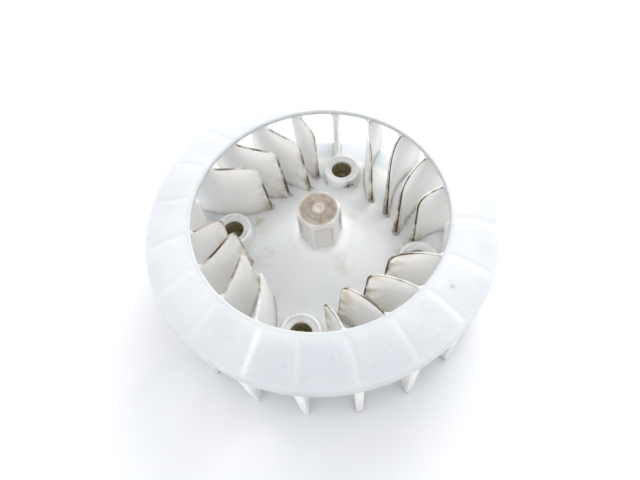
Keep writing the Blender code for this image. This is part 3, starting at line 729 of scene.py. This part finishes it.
# ------------------------------------------------------------------ screw bosses and sleeves
def build_bosses():
    steps = 144
    for k, (bx, by) in enumerate(BOSSES):
        lip_c, lip_r = BOSS_R - 0.95, 0.95
        inside = [(BOSS_BORE_R, Z_SLEEVE_TOP + 0.1), (BOSS_BORE_R, Z_BOSS_TOP - 2.0),
                  (BOSS_BORE_R, Z_BOSS_TOP - 1.75), (BOSS_BORE_R + 0.10, Z_BOSS_TOP - 1.52),
                  (BOSS_BORE_R + 0.32, Z_BOSS_TOP - 1.38), (BOSS_BORE_R + 0.8, Z_BOSS_TOP - 1.24),
                  (BOSS_BORE_R + 1.5, Z_BOSS_TOP - 1.08), (BOSS_BORE_R + 2.15, Z_BOSS_TOP - 0.92),
                  (lip_c - lip_r - 0.05, Z_BOSS_TOP - 0.72), (lip_c - lip_r + 0.12, Z_BOSS_TOP - 0.50)]
        lip = arc(lip_c, Z_BOSS_TOP - lip_r, lip_r, 140, 0, 12)
        prof = inside + lip
        n_free = len(prof)
        r, z, th = lathe(prof, steps)
        fil = 1.2
        rows_r, rows_z = [], []
        t = th[:, 0]

        def surface(rad):
            return dome_top(np.hypot(bx + rad * np.cos(t), by + rad * np.sin(t)))

        for q in (0.75, 0.5, 0.25):
            zs = surface(BOSS_R) + fil
            rows_r.append(np.full(steps, BOSS_R))
            rows_z.append(zs + (Z_BOSS_TOP - lip_r - zs) * q)
        for a in np.linspace(0, 90, 9):
            rad = BOSS_R + fil * (1 - cos(radians(a)))
            rows_r.append(np.full(steps, rad))
            rows_z.append(surface(rad) + fil * (1 - sin(radians(a))) - 0.02)
        for rad, dz in ((BOSS_R + fil + 0.3, -0.16), (BOSS_R + 0.6, -0.9), (BOSS_R, -1.6), (BOSS_R, -DISC_T - 0.6)):
            rows_r.append(np.full(steps, rad))
            rows_z.append(surface(min(rad, BOSS_R + fil)) + dz)
        for rad, zz in ((BOSS_R, Z_SEAT + 2.2), (BOSS_R, Z_SEAT + 0.9), (BOSS_R - 0.2, Z_SEAT + 0.45),
                        (BOSS_R - 0.6, Z_SEAT + 0.2), (SLEEVE_OD / 2 + 0.6, Z_SEAT + 0.2),
                        (SLEEVE_OD / 2 - 0.05, Z_SEAT + 0.35), (SLEEVE_OD / 2 - 0.05, Z_SLEEVE_TOP - 3),
                        (SLEEVE_OD / 2 - 0.05, Z_SLEEVE_TOP + 0.1)):
            rows_r.append(np.full(steps, rad))
            rows_z.append(np.full(steps, zz))
        r = np.concatenate([r, np.array(rows_r).T], 1)
        z = np.concatenate([z, np.array(rows_z).T], 1)
        th = np.broadcast_to(t[:, None], r.shape)
        verts = xyz(r, th, z)
        rf, zf, tf = r.reshape(-1), z.reshape(-1), th.reshape(-1)
        wx, wy = bx + verts[:, 0], by + verts[:, 1]
        n1 = fine_noise(wx / 3.5, wy / 3.5, zf / 3.5, 11 + k)
        n2 = fine_noise(wx / 1.2, wy / 1.2, zf / 1.2, 31 + k)
        # painted shade: the dish round the bore is darkened, most at the bore's edge; the lip is made near-white as a
        # painted highlight
        dish = (rf < lip_c - lip_r + 0.3) & (zf > Z_SLEEVE_TOP)
        grime_and_painted_shade = np.where(dish, 0.05 + 0.25 * np.exp(-((rf - BOSS_BORE_R) / 0.5) ** 2), 0.0)
        grime_and_painted_shade = grime_and_painted_shade + 0.55 * smoothstep(0.66, 0.86, n1) * smoothstep(0.45, 0.75, n2) * (zf > 17)
        stain_and_painted_shade = np.where(dish, 0.40, 0.02) + 0.3 * smoothstep(0.5, 0.9, n1) * (rf > BOSS_R - 0.1)
        # one boss has a dark bruise on its inward side
        if k == 1:
            ang = np.degrees(np.arctan2(verts[:, 1], verts[:, 0]))
            chip = np.exp(-((ang + 50) / 13) ** 2) * np.exp(-((rf - 10.1) / 0.7) ** 2)
            chip2 = np.exp(-((ang + 56) / 18) ** 2) * np.exp(-((zf - 18.6) / 0.8) ** 2) * (rf > 9.9)
            grime_and_painted_shade = grime_and_painted_shade + 0.9 * chip * (n2 > 0.35) + 0.8 * chip2
        me = make_mesh("screw_boss_skin_%d" % (k + 1), verts, loop_faces(steps, r.shape[1]), M_BOSS,
                       {"grime_and_painted_shade": grime_and_painted_shade, "stain_and_painted_shade": stain_and_painted_shade,
                        "pale_tone_and_painted_highlight": 0.95 * np.exp(-((rf - lip_c - 0.2) / 1.1) ** 2) * (zf > Z_BOSS_TOP - 1.8)})
        place("screw_boss_%d_skin" % (k + 1), me, "screw_boss_%d" % (k + 1), at=(bx, by, 0))


def build_sleeves():
    steps = 120
    ri, ro, zf, zt = SLEEVE_ID / 2, SLEEVE_OD / 2 - 0.1, Z_SEAT + SLEEVE_FLOOR, Z_SLEEVE_TOP + 0.05
    wall = [(ri + 0.035 * sin(q * 5.1) + 0.03 * sin(q * 11.7 + 1), q) for q in np.linspace(zt - 0.4, zf + 0.9, 34)]
    prof = [(ro - 0.3, zt), (ri + 0.3, zt), (ri + 0.05, zt - 0.2)] + wall
    prof += arc(ri - 0.7, zf + 0.7, 0.7, 0, -90, 5)
    prof += [(SCREW_HOLE_R + 0.8, zf), (SCREW_HOLE_R + 0.35, zf), (SCREW_HOLE_R + 0.08, zf - 0.12),
             (SCREW_HOLE_R, zf - 0.4), (SCREW_HOLE_R, Z_SEAT + 0.5), (SCREW_HOLE_R + 0.1, Z_SEAT + 0.15),
             (SCREW_HOLE_R + 0.4, Z_SEAT), (ro - 0.5, Z_SEAT), (ro - 0.15, Z_SEAT + 0.12), (ro, Z_SEAT + 0.5),
             (ro, zt - 0.3)]
    r, z, th = lathe(prof, steps)
    verts = xyz(r, th, z)
    me = make_mesh("sleeve_skin", verts, loop_faces(steps, len(prof)), M_SLEEVE)
    for k, (bx, by) in enumerate(BOSSES):
        place("sleeve_%d_skin" % (k + 1), me, "sleeve_%d" % (k + 1), at=(bx, by, 0),
              turn=radians(90 * k))


# ------------------------------------------------------------------ turning post
def build_post():
    ap = HEX_AF / 2
    rc = ap / cos(pi / 6)
    hw = HEX_PANEL_W / 2
    side = rc / 2                                     # half a side of the hexagon
    # one flat's section: (distance from the axis, distance along the flat), collar and panel
    cr = 0.30                                         # corner rounding, measured along the flat
    ys = [0.0, 0.8, 1.6, 2.4, 3.1, 3.6, hw - 0.35, hw - 0.15, hw - 0.05, hw + 0.05, hw + 0.18, hw + 0.35,
          side - cr, side - cr * 0.6, side - cr * 0.3]
    panel_d = {hw - 0.35: 1.0, hw - 0.15: 0.93, hw - 0.05: 0.72, hw + 0.05: 0.28, hw + 0.18: 0.07, hw + 0.35: 0.0}
    half_flat = [(y, HEX_PANEL * (panel_d.get(y, 1.0) if y < hw + 0.4 else 0.0)) for y in ys]
    sec = [(-y, d) for y, d in reversed(half_flat[1:])] + half_flat
    cols = []                                         # per column: unit directions and both radii
    for f in range(6):
        fa = radians(HEX_PHASE + 30 + 60 * f)
        for y, d in sec:
            over = max(0.0, abs(y) - (side - cr)) / cr
            x = ap - 0.07 * over ** 2
            for_collar = (x * cos(fa) - y * sin(fa), x * sin(fa) + y * cos(fa))
            for_panel = ((x - d) * cos(fa) - y * sin(fa), (x - d) * sin(fa) + y * cos(fa))
            cols.append((for_collar, for_panel, abs(y)))
        ca = fa + radians(30)
        cols.append((((rc - 0.08) * cos(ca), (rc - 0.08) * sin(ca)),
                     ((rc - 0.08) * cos(ca), (rc - 0.08) * sin(ca)), side))
    collar = np.array([c[0] for c in cols])
    panel = np.array([c[1] for c in cols])
    yab = np.array([c[2] for c in cols])
    n = len(cols)
    z_panel = Z_HEX_TOP - HEX_COLLAR
    rows = []                                         # (z, how much of the panel's depth)
    for zz in (31.8, 32.6, 33.3, 33.9, 34.4, 34.9, 35.4, 36.0, 36.7, 37.6):
        rows.append((zz, 1.0))
    for zz in np.linspace(38.6, z_panel - 0.6, 14):
        rows.append((zz, 1.0))
    rows += [(z_panel - 0.35, 1.0), (z_panel - 0.15, 0.96), (z_panel - 0.03, 0.82), (z_panel + 0.05, 0.45),
             (z_panel + 0.12, 0.16), (z_panel + 0.28, 0.03), (z_panel + 0.5, 0.0)]
    for zz in np.linspace(z_panel + 0.9, Z_HEX_TOP, 38):
        rows.append((zz, 0.0))
    V, G, S, P = [], [], [], []
    for zz, k in rows:
        q = collar + (panel - collar) * k
        rad = np.hypot(q[:, 0], q[:, 1])
        # chamfer, as on a bolt head
        rmax = 8.9 + (Z_HEX_TOP - zz) * (3.8 / 2.1)
        near = np.minimum(rad, rmax)
        if zz > Z_HEX_TOP - 0.25:
            near = near - 0.25 * ((zz - (Z_HEX_TOP - 0.25)) / 0.25) ** 2 * 0.6
        # fillet onto the dome
        h = zz - dome_top(np.full(n, 12.0))
        out = round_fillet(np.maximum(h, 0.0), 1.3)
        to_round = 1 - smoothstep(34.6, 37.6, zz)
        near = near + (9.9 - near) * to_round * 0.3 + out * 0.4
        scale = near / rad
        q = q * scale[:, None]
        V.append(np.column_stack([q, np.full(n, zz)]))
        # painted shadow: a dark line under the collar's ledge; painted shade along the panel ribs and at the chamfer's
        # foot
        ledge = exp(-((zz - (z_panel + 0.45)) / 0.42) ** 2) * (yab < hw + 0.3)
        rib = np.exp(-((yab - hw) / 0.22) ** 2) * (1 - smoothstep(z_panel - 0.2, z_panel + 0.3, zz)) \
            * smoothstep(36.5, 43.0, zz)
        cham = np.exp(-((rad - rmax) / 0.28) ** 2) * (zz < Z_HEX_TOP - 0.3)
        G.append(0.62 * ledge + 0.40 * rib + 0.14 * cham)
        back = np.clip(np.cos(np.arctan2(q[:, 1], q[:, 0]) - radians(109)), 0, 1)
        S.append(np.where(rad > rmax - 0.15, 0.26 + 0.5 * back, 0.10) if zz < Z_HEX_TOP - 0.15 else np.full(n, 0.8))
        P.append(np.full(n, float(1 - smoothstep(34.5, 42.0, zz)) * 0.5))
    # the flat top with its moulding rings and nub
    rim = np.hypot(V[-1][:, 0], V[-1][:, 1])
    ang = np.arctan2(V[-1][:, 1], V[-1][:, 0])
    levels = [(8.2, 0.0), (7.6, 0.0), (7.2, -0.01), (7.0, -0.05), (6.8, -0.06), (6.6, -0.02), (6.3, 0.0), (5.6, 0.0),
              (5.1, 0.0), (4.9, -0.02), (4.7, -0.08), (4.45, -0.09), (4.2, -0.05), (3.9, -0.01), (3.4, 0.0),
              (3.05, 0.03), (2.8, 0.10), (2.55, 0.22), (2.3, 0.30), (1.9, 0.32), (1.5, 0.30), (1.15, 0.22),
              (0.9, 0.17), (0.5, 0.15), (0.2, 0.15)]
    for rr, dz in levels:
        V.append(np.column_stack([rr * np.cos(ang), rr * np.sin(ang), np.full(n, Z_HEX_TOP + dz)]))
        # painted shade in the top's moulding rings and round the nub
        line = exp(-((rr - 4.5) / 0.22) ** 2) * 0.04 + exp(-((rr - 6.9) / 0.2) ** 2) * 0.03 \
            + exp(-((rr - 3.05) / 0.15) ** 2) * 0.12
        nub = 1.0 if rr < 2.95 else 0.0
        G.append(np.full(n, line))
        S.append(np.full(n, 1.0 - 0.30 * nub))
        P.append(np.full(n, 0.06 * nub))
    m = len(V)
    verts = np.concatenate(V)
    i, j = np.meshgrid(np.arange(m - 1), np.arange(n), indexing='ij')
    j2 = (j + 1) % n
    faces = np.stack([i * n + j, i * n + j2, (i + 1) * n + j2, (i + 1) * n + j], -1).reshape(-1, 4).tolist()
    faces.append([(m - 1) * n + q for q in range(n)])
    # the moulding core up the inside
    core = [(5.0 + 0.4, 31.8), (5.0, 32.3), (4.95, 40.0), (4.9, 51.2), (4.6, 51.7), (4.1, 51.9)]
    base = len(verts)
    t0 = np.arctan2(V[0][:, 1], V[0][:, 0])
    extra = [np.column_stack([rr * np.cos(t0), rr * np.sin(t0), np.full(n, zz)]) for rr, zz in core]
    verts = np.concatenate([verts] + extra)
    jj = np.arange(n)
    jj2 = (jj + 1) % n
    faces += np.stack([jj2, jj, base + jj, base + jj2], -1).tolist()
    for q in range(len(core) - 1):
        faces += np.stack([base + q * n + jj2, base + q * n + jj, base + (q + 1) * n + jj,
                           base + (q + 1) * n + jj2], -1).tolist()
    faces.append([base + (len(core) - 1) * n + q for q in range(n)][::-1])
    e = len(verts) - base
    G = np.concatenate(G + [np.zeros(e)])
    S = np.concatenate(S + [np.zeros(e)])
    P = np.concatenate(P + [np.full(e, 0.4)])
    me = make_mesh("hex_drive_post_skin", verts, faces, M_POST, {"grime_and_painted_shade": G, "stain_and_painted_shade": S, "pale_tone_and_painted_highlight": P})
    me.set_sharp_from_angle(angle=radians(50))
    place("hex_drive_post_skin", me, "hex_drive_post")


build_ring()
build_disc()
build_vanes()
build_bosses()
build_sleeves()
build_post()


# ------------------------------------------------------------------ floor and light
def floor():
    me = bpy.data.meshes.new("floor")
    me.from_pydata([(x, y, -0.00005) for x, y in ((-3, -3), (3, -3), (3, 3), (-3, 3))], [], [(0, 1, 2, 3)])
    ob = bpy.data.objects.new("floor", me)
    scene.collection.objects.link(ob)
    m = bpy.data.materials.new("pale_paper")
    nt, b = nodes_of(m)
    p = position(nt)
    n = band(nt, noise(nt, p, 0.01, 3.0), 0.3, 0.7)
    col = mix(nt, n, (0.945, 0.95, 0.965), (0.93, 0.94, 0.955))
    nt.links.new(col, b.inputs["Base Color"])
    b.inputs["Roughness"].default_value = 0.9
    b.inputs["Specular IOR Level"].default_value = 0.2
    me.materials.append(m)


def area(name, at, size, power, colour=(1, 1, 1), target=(0, 0, 0.03)):
    ld = bpy.data.lights.new(name, 'AREA')
    ld.shape = 'DISK'
    ld.size = size
    ld.energy = power
    ld.color = colour
    ob = bpy.data.objects.new(name, ld)
    scene.collection.objects.link(ob)
    ob.location = at
    ob.rotation_euler = (Vector(target) - Vector(at)).to_track_quat('-Z', 'Y').to_euler()
    return ob


floor()
w = bpy.data.worlds.new("world")
scene.world = w
w.use_nodes = True
w.node_tree.nodes["Background"].inputs[0].default_value = (0.975, 0.985, 1.0, 1)
w.node_tree.nodes["Background"].inputs[1].default_value = 1.015
area("window_light", towards(0.45, 0.80, 0.58), 0.8, 7.0, (1.0, 0.995, 0.985))
scene.view_settings.view_transform = 'Standard'
